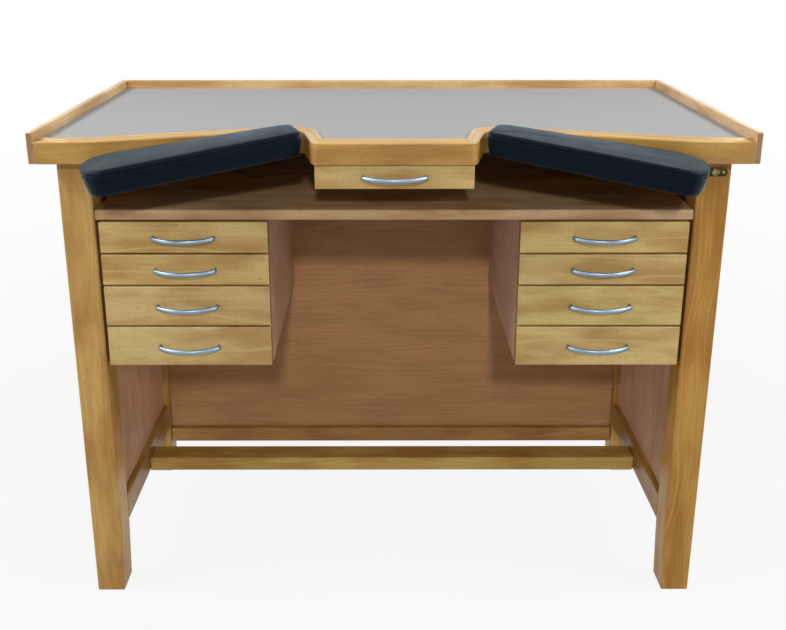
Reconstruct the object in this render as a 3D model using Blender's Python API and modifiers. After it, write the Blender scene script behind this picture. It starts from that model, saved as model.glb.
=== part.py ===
"""Watchmaker's bench in beech: leg frame, raised-edge top with a shaped front lipping, two tilting
armrest pads set into recesses, a small drawer under the nose and two hanging pedestals of four drawers.

Metres. X runs across the bench, -Y is the user's side, Z is up, and the floor is Z = 0.
"""

import math

import bmesh
import bpy
from mathutils import Matrix, Vector

# Outer size of the top, and Y of the lipping's front corners, which depths are measured from.
TOP_WIDTH = 1.200
TOP_DEPTH = 0.600
TOP_HEIGHT = 0.900
FRONT = -0.2392

# Clearance between fixed pieces, and the easing of sawn edges.
GAP = 0.0003
EASE = 0.0015

# Boards that stand up round three sides, work surface and the board under it.
EDGE_THICK = 0.0117
EDGE_TALL = 0.053
SURFACE_DROP = 0.0175
SURFACE_THICK = 0.002
BOARD_THICK = 0.0250

# Front lipping: section, and plan of its front face as half widths, depths behind FRONT and corner radii.
# The straight at each corner is CORNER_LONG, and the face then slants back to the nose's root.
LIP_DROP = 0.0140
LIP_DEPTH = 0.022
LIP_ROUND = 0.004
GROOVE_AT = 0.0125
GROOVE_HALF = 0.0012
GROOVE_DEEP = 0.0014
BEAD_RISE = 0.0022
NOSE_HALF = 0.1346
NOSE_OUT = 0.010
NOSE_RADIUS = 0.014
NOSE_ROOT_HALF = 0.159
RECESS_DEPTH = 0.101
RECESS_RADIUS = 0.026
CORNER_LONG = 0.093
RECESS_BLEND = 0.150

# Leg frame.
OVERHANG_SIDE = 0.034
OVERHANG_FRONT = 0.033
FRAME_DEPTH = 0.479
LEG = 0.055
LEG_TAPER = 0.004
TAPER_TOP = 0.120
LEG_EASE = 0.002
RAIL_THICK = 0.025
SIDE_RAIL_LOW = 0.122
SIDE_RAIL_TALL = 0.050
TOP_RAIL_TALL = 0.055
PANEL_SET = 0.012
SIDE_PANEL_THICK = 0.006
BACK_RAIL_LOW = 0.075
BACK_RAIL_TALL = 0.034
BACK_RAIL_SET = 0.005
BACK_PANEL_THICK = 0.008
FOOT_RAIL_BACK = 0.263
FOOT_RAIL_DEEP = 0.049
FOOT_RAIL_LOW = 0.120
FOOT_RAIL_TALL = 0.0295

# Shelf, pedestal panels and their runner cleats.
SHELF_BAY = 0.096
SHELF_THICK = 0.018
SHELF_SET = 0.003
KNEE_HALF = 0.2165
INNER_THICK = 0.016
OUTER_THICK = 0.0125
CLEAT_WIDE = 0.009
CLEAT_TALL = 0.0087
CLEAT_UP = 0.003

# Pedestal drawers, from the top one down.
DRAWER_SET = 0.002
FRONT_THICK = 0.018
FRONT_DROP = 0.0037
FRONT_HEIGHTS = (0.0554, 0.0554, 0.0732, 0.0732)
FRONT_GAP = 0.003
FRONT_SIDE_GAP = 0.0055
BOX_BACK = 0.0354
BOX_PLAY = 0.001
BOX_DOWN = 0.009
BOX_WALL = 0.009
BOX_FLOOR = 0.005

# Drawer under the nose and its L-shaped runners.
NOSE_FACE_SET = 0.006
NOSE_FRONT_HALF = 0.1315
NOSE_FRONT_THICK = 0.015
NOSE_FRONT_TALL = 0.040
NOSE_FRONT_GAP = 0.001
NOSE_BOX_HALF = 0.1115
NOSE_BOX_DEEP = 0.190
NOSE_BOX_TALL = 0.030
NOSE_BOX_DOWN = 0.0035
NOSE_BOX_WALL = 0.008
NOSE_BOX_FLOOR = 0.004
RUNNER_CHEEK = 0.010
RUNNER_FOOT = 0.003
RUNNER_TOE = 0.009
RUNNER_PAST = 0.010

# Bow handle: an oval bar that springs from two short feet.
HANDLE_LONG = 0.110
HANDLE_OUT = 0.030
HANDLE_FOOT = 0.009
HANDLE_TALL = 0.0080
HANDLE_THICK = 0.0064
HANDLE_STEPS = 12

# Armrest pads: place along the recess, slope at rest, outline and the corner radii at each end.
PIVOT_ALONG = 0.188
PIVOT_DOWN = 0.0730
PAD_CLEAR = 0.003
PAD_SLOPE = math.radians(6.2)
PAD_INNER = 0.178
PAD_OUTER = 0.178
PAD_HALF = 0.0555
PAD_SPREAD = 0.068
PAD_TALL = 0.0447
PAD_LIFT = 0.0115
PAD_DRAW = 0.0105
PAD_SHOULDER = 0.0065
PAD_END_RADIUS = 0.020
ELBOW_BACK_RADIUS = 0.062
ELBOW_FRONT_RADIUS = 0.034

# Armrest bracket and bush, along the rod from the middle of the pad.
ROD_RADIUS = 0.005
ROD_PLAY = 0.0001
ROD_END = 0.028
BUSH_LONG = 0.030
BUSH_WIDE = 0.036
BUSH_TALL = 0.019
BUSH_SET = 0.032
WEB_LONG = 0.060
WEB_WIDE = 0.024
WEB_SET = 0.040
FLANGE_LONG = 0.072
FLANGE_WIDE = 0.064
FLANGE_THICK = 0.004

# Oval plate on the right front leg: rim, collared hole and two screws.
PLATE_LONG = 0.042
PLATE_TALL = 0.0155
PLATE_THICK = 0.0018
PLATE_ROUND = 0.0005
PLATE_DOWN = 0.074
COLLAR_RADIUS = 0.0062
COLLAR_OUT = 0.0022
HOLE_RADIUS = 0.0038
SCREW_RADIUS = 0.0032
SCREW_OUT = 0.0012
SCREW_APART = 0.027

# Levels and faces that several pieces share.
half_width = TOP_WIDTH / 2
top_back = FRONT + TOP_DEPTH
edge_low = TOP_HEIGHT - EDGE_TALL
lip_top = TOP_HEIGHT - LIP_DROP
lip_end = half_width - EDGE_THICK - GAP
recess_start = half_width - CORNER_LONG
surface_top = TOP_HEIGHT - SURFACE_DROP
surface_low = surface_top - SURFACE_THICK
board_top = surface_low - GAP
top_under = board_top - BOARD_THICK
leg_outer = half_width - OVERHANG_SIDE
leg_inner = leg_outer - LEG
leg_front = FRONT + OVERHANG_FRONT
leg_back = leg_front + FRAME_DEPTH - LEG
inside = leg_inner - GAP
shelf_top = top_under - SHELF_BAY
shelf_low = shelf_top - SHELF_THICK


def material(name, rgb, rough, metal=0.0):
    made = bpy.data.materials.new(name)
    made.use_nodes = True
    shader = made.node_tree.nodes["Principled BSDF"]
    shader.inputs["Base Color"].default_value = (*rgb, 1.0)
    shader.inputs["Roughness"].default_value = rough
    shader.inputs["Metallic"].default_value = metal
    made.diffuse_color = (*rgb, 1.0)
    return made


for old in list(bpy.data.objects):
    bpy.data.objects.remove(old, do_unlink=True)

BEECH = material("beech", (0.48, 0.32, 0.12), 0.4)
VENEER = material("beech veneer", (0.33, 0.19, 0.12), 0.5)
PLYWOOD = material("birch plywood", (0.58, 0.45, 0.28), 0.6)
LINOLEUM = material("linoleum", (0.43, 0.43, 0.43), 0.7)
LEATHERETTE = material("leatherette", (0.02, 0.03, 0.05), 0.5)
ALUMINIUM = material("satin aluminium", (0.6, 0.65, 0.7), 0.3, 1.0)
STEEL = material("blackened steel", (0.03, 0.03, 0.03), 0.45, 1.0)
BRASS = material("brass", (0.4, 0.35, 0.2), 0.4, 1.0)

bench = bpy.data.collections.new("watchmakers bench")
cutters = bpy.data.collections.new("cutters")
for group in (bench, cutters):
    bpy.context.scene.collection.children.link(group)


def add(name, data, mat, origin=(0.0, 0.0, 0.0)):
    data.materials.append(mat)
    obj = bpy.data.objects.new(name, data)
    obj.location = origin
    bench.objects.link(obj)
    return obj


def finished(bm, name, smooth=False):
    """The bmesh as a mesh with outward faces, smooth over its round stretches if asked."""
    bmesh.ops.remove_doubles(bm, verts=bm.verts[:], dist=1e-6)
    bmesh.ops.recalc_face_normals(bm, faces=bm.faces[:])
    mesh = bpy.data.meshes.new(name)
    bm.to_mesh(mesh)
    bm.free()
    if smooth:
        mesh.shade_smooth()
        mesh.set_sharp_from_angle(angle=math.radians(35))
    return mesh


def soften(obj, width):
    bevel = obj.modifiers.new("eased edges", "BEVEL")
    bevel.width = width
    bevel.segments = 1
    bevel.limit_method = "ANGLE"
    bevel.angle_limit = math.radians(40)


def block(low, high, origin=(0.0, 0.0, 0.0)):
    """A cube stretched between two corners, about an origin."""
    low, high = Vector(low), Vector(high)
    bm = bmesh.new()
    move = Matrix.Translation((low + high) / 2 - Vector(origin))
    bmesh.ops.create_cube(bm, size=1.0, matrix=move @ Matrix.Diagonal((*(high - low), 1.0)))
    return bm


def board(name, low, high, mat, ease=EASE, origin=(0.0, 0.0, 0.0)):
    """A sawn board between two corners, its edges eased."""
    obj = add(name, finished(block(low, high, origin), name), mat, origin)
    if ease:
        soften(obj, ease)
    return obj


def flat_solid(name, outline, low, high, mat, upright=False):
    """A flat outline with thickness: a plan raised from low to high or, upright, an X-Z section along Y."""
    curve = bpy.data.curves.new(name, "CURVE")
    curve.dimensions = "2D"
    curve.fill_mode = "BOTH"
    curve.extrude = (high - low) / 2
    spline = curve.splines.new("POLY")
    spline.points.add(len(outline) - 1)
    spline.use_cyclic_u = True
    for point, (u, v) in zip(spline.points, outline):
        point.co = (u, v, 0.0, 1.0)
    middle = (low + high) / 2
    obj = add(name, curve, mat, (0.0, middle, 0.0) if upright else (0.0, 0.0, middle))
    if upright:
        obj.rotation_euler.x = math.pi / 2
    return obj


def loft(name, rings, mat, origin=(0.0, 0.0, 0.0), smooth=False):
    """A skin over rings with the same number of points, with a face at each end."""
    bm = bmesh.new()
    origin = Vector(origin)
    made = [[bm.verts.new(Vector(point) - origin) for point in ring] for ring in rings]
    count = len(made[0])
    for low, high in zip(made, made[1:]):
        for i in range(count):
            j = (i + 1) % count
            bm.faces.new((low[i], low[j], high[j], high[i]))
    bm.faces.new(made[0])
    bm.faces.new(made[-1])
    return add(name, finished(bm, name, smooth), mat, origin)


def combine(obj, other, how):
    """Joins the other object to this one, or cuts it away."""
    step = obj.modifiers.new(how.lower(), "BOOLEAN")
    step.operation = how
    step.solver = "EXACT"
    step.object = other
    bench.objects.unlink(other)
    cutters.objects.link(other)
    other.hide_render = True
    other.display_type = "WIRE"


def left_right(side):
    return "left" if side < 0 else "right"


def span(side, near, far):
    """X of a mirrored pair, lower value first."""
    return tuple(sorted((side * near, side * far)))


def corner_line(corners, inset, steps):
    """Points of a polyline with rounded corners, moved inwards by inset; the body lies on its left.

    Every inset gives the same number of points. Where the inset passes a convex corner's radius the
    points meet in the mitre, and a corner with no radius gives one point.
    """
    points = []
    for i, (x, y, radius) in enumerate(corners):
        here = Vector((x, y))
        before = (here - Vector(corners[i - 1][:2])).normalized() if i else None
        after = None
        if i + 1 < len(corners):
            after = (Vector(corners[i + 1][:2]) - here).normalized()
        before = before or after
        after = after or before
        out_a = Vector((before.y, -before.x))
        out_b = Vector((after.y, -after.x))
        turn = before.x * after.y - before.y * after.x
        mitre = (out_a + out_b) / (1.0 + out_a.dot(out_b))
        if not radius:
            points.append(here - mitre * inset)
            continue
        convex = turn > 0
        centre = here - mitre * radius if convex else here + mitre * radius
        angle = math.atan2(out_a.y, out_a.x)
        sweep = math.atan2(turn, before.dot(after))
        for k in range(steps + 1):
            out = angle + sweep * k / steps
            out = Vector((math.cos(out), math.sin(out)))
            if not convex:
                points.append(centre - out * (radius + inset))
            elif inset < radius:
                points.append(centre + out * (radius - inset))
            else:
                points.append(centre - mitre * (inset - radius))
    return points


# Leg frame with its rails and panels.

back_rail_front = leg_back + BACK_RAIL_SET
back_rail_top = BACK_RAIL_LOW + BACK_RAIL_TALL
back_panel_front = back_rail_front + PANEL_SET
between_low = leg_front + LEG + GAP
between_high = leg_back - GAP
side_rail_top = SIDE_RAIL_LOW + SIDE_RAIL_TALL
top_rail_low = top_under - TOP_RAIL_TALL
foot_rail_front = FRONT + FOOT_RAIL_BACK


def leg(name, side, front):
    """A square leg whose inner face draws in below the side rail."""
    x = span(side, leg_inner, leg_outer)
    bm = block((x[0], front, 0.0), (x[1], front + LEG, top_under - GAP))
    whole = bm.verts[:] + bm.edges[:] + bm.faces[:]
    bmesh.ops.bisect_plane(bm, geom=whole, plane_co=(0.0, 0.0, TAPER_TOP), plane_no=(0.0, 0.0, 1.0))
    middle = (leg_inner + leg_outer) / 2
    foot = [vert for vert in bm.verts if vert.co.z < TAPER_TOP / 2 and abs(vert.co.x) < middle]
    bmesh.ops.translate(bm, verts=foot, vec=(side * LEG_TAPER, 0.0, 0.0))
    soften(add(name, finished(bm, name), BEECH), LEG_EASE)


for side in (-1, 1):
    hand = left_right(side)
    leg(f"leg_front_{hand}", side, leg_front)
    leg(f"leg_back_{hand}", side, leg_back)
    rail = span(side, leg_inner, leg_inner + RAIL_THICK)
    panel = span(side, leg_inner + PANEL_SET, leg_inner + PANEL_SET + SIDE_PANEL_THICK)
    board(f"side_rail_{hand}", (rail[0], between_low, SIDE_RAIL_LOW),
          (rail[1], between_high, side_rail_top), BEECH)
    board(f"top_rail_{hand}", (rail[0], between_low, top_rail_low),
          (rail[1], between_high, top_under - GAP), BEECH)
    board(f"side_panel_{hand}", (panel[0], between_low, side_rail_top + GAP),
          (panel[1], between_high, top_rail_low - GAP), VENEER, 0.0)

board("back_rail", (-inside, back_rail_front, BACK_RAIL_LOW),
      (inside, back_rail_front + RAIL_THICK, back_rail_top), BEECH)
board("back_panel", (-inside, back_panel_front, back_rail_top + GAP),
      (inside, back_panel_front + BACK_PANEL_THICK, top_under - GAP), VENEER, 0.0)
board("foot_rail", (-inside, foot_rail_front, FOOT_RAIL_LOW),
      (inside, foot_rail_front + FOOT_RAIL_DEEP, FOOT_RAIL_LOW + FOOT_RAIL_TALL), BEECH)
board("shelf", (-inside, leg_front + SHELF_SET, shelf_low), (inside, back_panel_front - GAP, shelf_top), BEECH)

# Pedestal panels, each with one runner cleat for every drawer.

drawer_face = leg_front + DRAWER_SET
front_in = KNEE_HALF
front_out = leg_inner - FRONT_SIDE_GAP
tops = []
level = shelf_low - FRONT_DROP
for tall in FRONT_HEIGHTS:
    tops.append(level)
    level -= tall + FRONT_GAP
lows = [top - tall for top, tall in zip(tops, FRONT_HEIGHTS)]
carcass_front = drawer_face + FRONT_THICK + GAP
carcass_back = back_panel_front - GAP
box_back = carcass_back - BOX_BACK
bay_in = KNEE_HALF + INNER_THICK
bay_out = inside - OUTER_THICK


def cleated(name, plain, face, reach):
    """A panel's section from its plain face to its drawer face, with cleats standing out to reach."""
    section = [(plain, shelf_low - GAP), (plain, lows[-1]), (face, lows[-1])]
    for low in reversed(lows):
        cleat_low = low + CLEAT_UP
        cleat_high = cleat_low + CLEAT_TALL
        section += [(face, cleat_low), (reach, cleat_low), (reach, cleat_high), (face, cleat_high)]
    section.append((face, shelf_low - GAP))
    flat_solid(name, section, carcass_front, carcass_back, VENEER, upright=True)


for side in (-1, 1):
    hand = left_right(side)
    cleated(f"pedestal_inner_{hand}", side * KNEE_HALF, side * bay_in, side * (bay_in + CLEAT_WIDE))
    cleated(f"pedestal_outer_{hand}", side * inside, side * bay_out, side * (bay_out - CLEAT_WIDE))

# Top: lipping, board, work surface and the boards that stand up round three sides.

LIP_STEPS = 6
lip_plan = [(-lip_end, FRONT, 0.0), (-recess_start, FRONT, RECESS_BLEND),
            (-NOSE_ROOT_HALF, FRONT + RECESS_DEPTH, RECESS_RADIUS), (-NOSE_HALF, FRONT - NOSE_OUT, NOSE_RADIUS)]
lip_plan += [(-x, y, radius) for x, y, radius in reversed(lip_plan)]


def lip_section():
    """The lipping across its depth: a flat with a rounded front edge, a groove and a raised bead."""
    section = [(0.0, edge_low + EASE)]
    for k in range(4):
        turn = math.pi / 2 * k / 3
        section.append((LIP_ROUND * (1 - math.cos(turn)), lip_top - LIP_ROUND * (1 - math.sin(turn))))
    section += [(GROOVE_AT - GROOVE_HALF, lip_top), (GROOVE_AT, lip_top - GROOVE_DEEP)]
    bead_start = GROOVE_AT + GROOVE_HALF
    bead_wide = LIP_DEPTH - bead_start
    for k in range(5):
        turn = math.pi * k / 4
        section.append((bead_start + bead_wide * (1 - math.cos(turn)) / 2, lip_top + BEAD_RISE * math.sin(turn)))
    return section + [(LIP_DEPTH, edge_low), (EASE, edge_low)]


lines = [(corner_line(lip_plan, inset, LIP_STEPS), z) for inset, z in lip_section()]
stations = range(len(lines[0][0]))
loft("front_lipping", [[(*line[station], z) for line, z in lines] for station in stations], BEECH, smooth=True)

board_plan = []
for point in corner_line(lip_plan, LIP_DEPTH + GAP, LIP_STEPS):
    if not board_plan or (point - board_plan[-1]).length > GAP / 10:
        board_plan.append(point)
board_back = top_back - EDGE_THICK - GAP
board_plan += [(lip_end, board_back), (-lip_end, board_back)]
flat_solid("top_board", board_plan, top_under, board_top, PLYWOOD)
flat_solid("work_surface", board_plan, surface_low, surface_top, LINOLEUM)

for side in (-1, 1):
    x = span(side, half_width - EDGE_THICK, half_width)
    board(f"edge_board_{left_right(side)}", (x[0], FRONT, edge_low), (x[1], top_back, TOP_HEIGHT), BEECH)
board("edge_board_back", (-lip_end, top_back - EDGE_THICK, edge_low), (lip_end, top_back, TOP_HEIGHT), BEECH)

# Drawers: front, box and bow handle, with their origin on the front's outer face.


def tray(name, low, high, wall, floor, origin):
    """An open box: a block whose top face is inset by the wall and sunk to the floor."""
    bm = block(low, high, origin)
    top = max(bm.faces, key=lambda face: face.calc_center_median().z)
    bmesh.ops.inset_region(bm, faces=[top], thickness=wall)
    sunk = bmesh.ops.extrude_discrete_faces(bm, faces=[top])["faces"][0]
    bmesh.ops.translate(bm, verts=sunk.verts[:], vec=(0.0, 0.0, floor - (high[2] - low[2])))
    add(name, finished(bm, name), PLYWOOD, origin)


def handle(name, centre):
    """A bow that springs from two short feet square to the drawer front."""
    curve = bpy.data.curves.new(name, "CURVE")
    curve.dimensions = "3D"
    curve.bevel_depth = HANDLE_THICK / 2
    curve.bevel_resolution = 2
    curve.use_fill_caps = True
    reach = (HANDLE_LONG - HANDLE_THICK) / 2
    rise = HANDLE_OUT - HANDLE_THICK / 2 - HANDLE_FOOT
    route = [(-reach, -GAP), (-reach, -HANDLE_FOOT / 2)]
    for k in range(1, HANDLE_STEPS):
        across = -math.cos(math.pi * k / HANDLE_STEPS)
        route.append((across * reach, -HANDLE_FOOT - rise * (1 - across * across)))
    route += [(-x, y) for x, y in reversed(route[:2])]
    spline = curve.splines.new("POLY")
    spline.points.add(len(route) - 1)
    for point, (x, y) in zip(spline.points, route):
        point.co = (x, y, 0.0, 1.0)
    add(name, curve, ALUMINIUM, centre).scale.z = HANDLE_TALL / HANDLE_THICK


for side in (-1, 1):
    x = span(side, front_in, front_out)
    box_x = span(side, bay_in + BOX_PLAY, bay_out - BOX_PLAY)
    for row, (top, low) in enumerate(zip(tops, lows), 1):
        drawer = f"{left_right(side)}_{row}"
        origin = ((x[0] + x[1]) / 2, drawer_face, (top + low) / 2)
        box_low = low + CLEAT_UP + CLEAT_TALL + GAP
        board(f"drawer_front_{drawer}", (x[0], drawer_face, low),
              (x[1], drawer_face + FRONT_THICK, top), BEECH, EASE, origin)
        tray(f"drawer_box_{drawer}", (box_x[0], carcass_front, box_low),
             (box_x[1], box_back, top - BOX_DOWN), BOX_WALL, BOX_FLOOR, origin)
        handle(f"drawer_handle_{drawer}", origin)

nose_face = FRONT - NOSE_OUT + NOSE_FACE_SET
nose_back = nose_face + NOSE_FRONT_THICK
nose_top = edge_low - NOSE_FRONT_GAP
nose_low = nose_top - NOSE_FRONT_TALL
nose_box_back = nose_back + GAP + NOSE_BOX_DEEP
nose_box_top = nose_top - NOSE_BOX_DOWN
nose_box_low = nose_box_top - NOSE_BOX_TALL
nose_origin = (0.0, nose_face, (nose_top + nose_low) / 2)
board("nose_drawer_front", (-NOSE_FRONT_HALF, nose_face, nose_low),
      (NOSE_FRONT_HALF, nose_back, nose_top), BEECH, EASE, nose_origin)
tray("nose_drawer_box", (-NOSE_BOX_HALF, nose_back + GAP, nose_box_low),
     (NOSE_BOX_HALF, nose_box_back, nose_box_top), NOSE_BOX_WALL, NOSE_BOX_FLOOR, nose_origin)
handle("nose_drawer_handle", nose_origin)

runner_near = NOSE_BOX_HALF + BOX_PLAY
runner_far = runner_near + RUNNER_CHEEK
runner_toe = runner_near - RUNNER_TOE
runner_step = nose_box_low - GAP
runner_low = runner_step - RUNNER_FOOT
runner_high = edge_low - GAP
for side in (-1, 1):
    section = [(runner_near, runner_high), (runner_near, runner_step), (runner_toe, runner_step),
               (runner_toe, runner_low), (runner_far, runner_low), (runner_far, runner_high)]
    flat_solid(f"nose_runner_{left_right(side)}", [(side * x, z) for x, z in section],
               nose_back + GAP, nose_box_back + RUNNER_PAST, BEECH, upright=True)

# Armrests: a steel bracket under the top with a forward rod, and a pad that tilts on it by its bush.

recess_angle = math.atan2(RECESS_DEPTH, recess_start - NOSE_ROOT_HALF)
pad_yaw = recess_angle + math.atan(PAD_SPREAD)
pad_reach = PAD_CLEAR + PAD_HALF * math.cos(math.atan(PAD_SPREAD))
pivot_z = TOP_HEIGHT - PIVOT_DOWN
pivot_x = NOSE_ROOT_HALF + PIVOT_ALONG * math.cos(recess_angle) - pad_reach * math.sin(recess_angle)
pivot_y = FRONT + RECESS_DEPTH - PIVOT_ALONG * math.sin(recess_angle) - pad_reach * math.cos(recess_angle)


def armrest_axes(side, slope):
    """Outward along the pad, forward along the rod, and the pad's upward normal."""
    along = Vector((side * math.cos(pad_yaw), -math.sin(pad_yaw), 0.0))
    forward = Vector((-side * math.sin(pad_yaw), -math.cos(pad_yaw), 0.0))
    up = Vector((0.0, 0.0, 1.0))
    return (along * math.cos(slope) - up * math.sin(slope), forward,
            along * math.sin(slope) + up * math.cos(slope))


def turned_to(axes):
    """Rotation from a piece's own axes to the bench's, right-handed on both sides."""
    along, forward, up = axes
    return Matrix((along, up.cross(along), up)).transposed().to_euler(), forward.dot(up.cross(along))


def armrest_block(name, pivot, axes, low, high):
    """A steel block with its corners given along the pad, along the rod and upwards."""
    turn, way = turned_to(axes)
    rod_low, rod_high = sorted((way * low[1], way * high[1]))
    bm = block((low[0], rod_low, low[2]), (high[0], rod_high, high[2]))
    obj = add(name, finished(bm, name), STEEL, pivot)
    obj.rotation_euler = turn
    return obj


def armrest_rod(name, pivot, axes, start, end, radius):
    """A round bar along the rod axis."""
    turn, way = turned_to(axes)
    bm = bmesh.new()
    lie = Matrix.Translation((0.0, way * (start + end) / 2, 0.0)) @ Matrix.Rotation(math.pi / 2, 4, "X")
    bmesh.ops.create_cone(bm, cap_ends=True, segments=32, radius1=radius, radius2=radius,
                          depth=end - start, matrix=lie)
    obj = add(name, finished(bm, name, smooth=True), STEEL, pivot)
    obj.rotation_euler = turn
    return obj


# Side of the pad below its seam, as shares of PAD_DRAW and PAD_TALL from the underside up.
PAD_WALL = ((1.0, 0.0), (0.81, 0.018), (0.65, 0.077), (0.38, 0.286), (0.11, 0.590), (0.0, 0.830))
# Shoulder over the seam, as shares of PAD_SHOULDER and PAD_TALL.
PAD_EDGE = ((0.10, 0.885), (0.42, 0.938), (1.0, 0.966))
# Crown as share of the width left and share of PAD_TALL.
PAD_CROWN = ((0.80, 0.978), (0.62, 0.989), (0.40, 0.997), (0.18, 1.0))
PAD_STEPS = 8


def pad_outline(inset):
    """The pad's outline in its own plane: narrow by the nose, wide and rounder at the elbow end."""
    inner = PAD_HALF - PAD_SPREAD * PAD_INNER
    outer = PAD_HALF + PAD_SPREAD * PAD_OUTER
    corners = [(-PAD_INNER, 0.0, 0.0), (-PAD_INNER, -inner, PAD_END_RADIUS), (PAD_OUTER, -outer, ELBOW_BACK_RADIUS),
               (PAD_OUTER, outer, ELBOW_FRONT_RADIUS), (-PAD_INNER, inner, PAD_END_RADIUS), (-PAD_INNER, 0.0, 0.0)]
    return corner_line(corners, inset, PAD_STEPS)[:-1]


def pad(name, pivot, axes):
    """A padded rest: sides drawn in below the seam, and a crown that stays level along the middle."""
    sides = [(PAD_DRAW * share, rise) for share, rise in PAD_WALL]
    sides += [(PAD_SHOULDER * share, rise) for share, rise in PAD_EDGE]
    rings = []
    for inset, rise in sides:
        rings.append([(p, q, PAD_LIFT + PAD_TALL * rise) for p, q in pad_outline(inset)])
    shoulder = pad_outline(PAD_SHOULDER)
    middle = (PAD_OUTER - PAD_INNER) / 2
    for share, rise in PAD_CROWN:
        keep = 1 - (1 - share) * PAD_HALF / (PAD_OUTER - middle)
        rings.append([(middle + (p - middle) * keep, q * share, PAD_LIFT + PAD_TALL * rise) for p, q in shoulder])
    along, forward, up = axes
    loft(name, [[pivot + along * p + forward * q + up * r for p, q, r in ring] for ring in rings],
         LEATHERETTE, pivot, smooth=True)


for side in (-1, 1):
    hand = left_right(side)
    pivot = Vector((side * pivot_x, pivot_y, pivot_z))
    level_axes = armrest_axes(side, 0.0)
    sloped = armrest_axes(side, PAD_SLOPE)
    under = top_under - GAP - pivot_z
    bush_back = -BUSH_SET - BUSH_LONG
    web_front = bush_back - WEB_SET
    web_back = web_front - WEB_LONG
    bracket = armrest_block(f"armrest_bracket_{hand}", pivot, level_axes,
                            (-FLANGE_WIDE / 2, web_front - FLANGE_LONG, under - FLANGE_THICK),
                            (FLANGE_WIDE / 2, web_front, under))
    web = armrest_block(f"bracket_web_{hand}", pivot, level_axes, (-WEB_WIDE / 2, web_back, -2 * ROD_RADIUS),
                        (WEB_WIDE / 2, web_front, under - FLANGE_THICK / 2))
    combine(bracket, web, "UNION")
    rod = armrest_rod(f"bracket_rod_{hand}", pivot, level_axes, web_front - WEB_LONG / 2, -ROD_END, ROD_RADIUS)
    combine(bracket, rod, "UNION")
    bush_top = PAD_LIFT - GAP
    bush = armrest_block(f"armrest_bush_{hand}", pivot, sloped, (-BUSH_WIDE / 2, bush_back, bush_top - BUSH_TALL),
                         (BUSH_WIDE / 2, -BUSH_SET, bush_top))
    hole = armrest_rod(f"bush_hole_{hand}", pivot, sloped, bush_back - BUSH_LONG, BUSH_LONG, ROD_RADIUS + ROD_PLAY)
    combine(bush, hole, "DIFFERENCE")
    pad(f"armrest_pad_{hand}", pivot, sloped)

# Oval plate: a rounded stadium with a collared hole and two screw heads.

plate_centre = Vector(((leg_inner + leg_outer) / 2, leg_front - GAP, TOP_HEIGHT - PLATE_DOWN))
PLATE_STEPS = 12


def plate_disc(name, offset, radius, low, high, end_radius):
    """A turned disc that stands on the plate's face."""
    bm = bmesh.new()
    bmesh.ops.create_cone(bm, cap_ends=True, segments=20, radius1=radius, radius2=end_radius, depth=high - low,
                          matrix=Matrix.Translation((offset, 0.0, (low + high) / 2)))
    disc = add(name, finished(bm, name, smooth=True), BRASS, plate_centre)
    disc.rotation_euler.x = math.pi / 2
    return disc


def oval_plate():
    """The plate's outline drawn out along the leg's face normal and rounded at the front."""
    end = PLATE_TALL / 2
    straight = (PLATE_LONG - PLATE_TALL) / 2
    outline = []
    for k in range(2 * PLATE_STEPS + 2):
        turn = math.pi * (k - (k > PLATE_STEPS)) / PLATE_STEPS - math.pi / 2
        shift = straight if k <= PLATE_STEPS else -straight
        outline.append((shift, turn))
    rings = []
    for inset, out in ((0.0, 0.0), (0.0, PLATE_THICK - PLATE_ROUND), (PLATE_ROUND, PLATE_THICK)):
        rings.append([plate_centre + Vector((shift + (end - inset) * math.cos(turn), -out,
                                             (end - inset) * math.sin(turn))) for shift, turn in outline])
    return loft("oval_plate", rings, BRASS, plate_centre, smooth=True)


plate = oval_plate()
sunk = PLATE_THICK / 2
combine(plate, plate_disc("plate_collar", 0.0, COLLAR_RADIUS, sunk, PLATE_THICK + COLLAR_OUT,
                          COLLAR_RADIUS - PLATE_ROUND), "UNION")
for end, offset in (("near", -SCREW_APART / 2), ("far", SCREW_APART / 2)):
    combine(plate, plate_disc(f"plate_screw_{end}", offset, SCREW_RADIUS, sunk, PLATE_THICK + SCREW_OUT,
                              SCREW_RADIUS * 0.7), "UNION")
combine(plate, plate_disc("plate_hole", 0.0, HOLE_RADIUS, sunk, PLATE_THICK + 2 * COLLAR_OUT, HOLE_RADIUS),
        "DIFFERENCE")
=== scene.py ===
"""Watchmaker's bench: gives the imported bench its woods, padded rests, bow handles and fittings."""

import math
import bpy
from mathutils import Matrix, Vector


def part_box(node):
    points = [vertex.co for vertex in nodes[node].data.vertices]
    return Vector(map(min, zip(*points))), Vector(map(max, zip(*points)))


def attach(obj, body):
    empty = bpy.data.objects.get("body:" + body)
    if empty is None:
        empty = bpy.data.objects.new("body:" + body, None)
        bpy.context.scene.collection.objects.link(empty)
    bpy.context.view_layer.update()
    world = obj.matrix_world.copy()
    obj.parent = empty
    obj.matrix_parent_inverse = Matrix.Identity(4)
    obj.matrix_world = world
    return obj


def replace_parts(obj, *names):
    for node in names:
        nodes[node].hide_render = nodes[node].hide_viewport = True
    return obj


bl_info = {
    "name": "Watchmaker's Bench Finish",
    "version": (1, 0, 0),
    "blender": (4, 5, 0),
    "location": "View3D > Sidebar > Bench",
    "description": "Dresses a watchmaker's bench in lacquered beech, linoleum and padded leatherette",
    "category": "Object",
}

import bpy
import numpy as np
from mathutils import Vector

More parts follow.
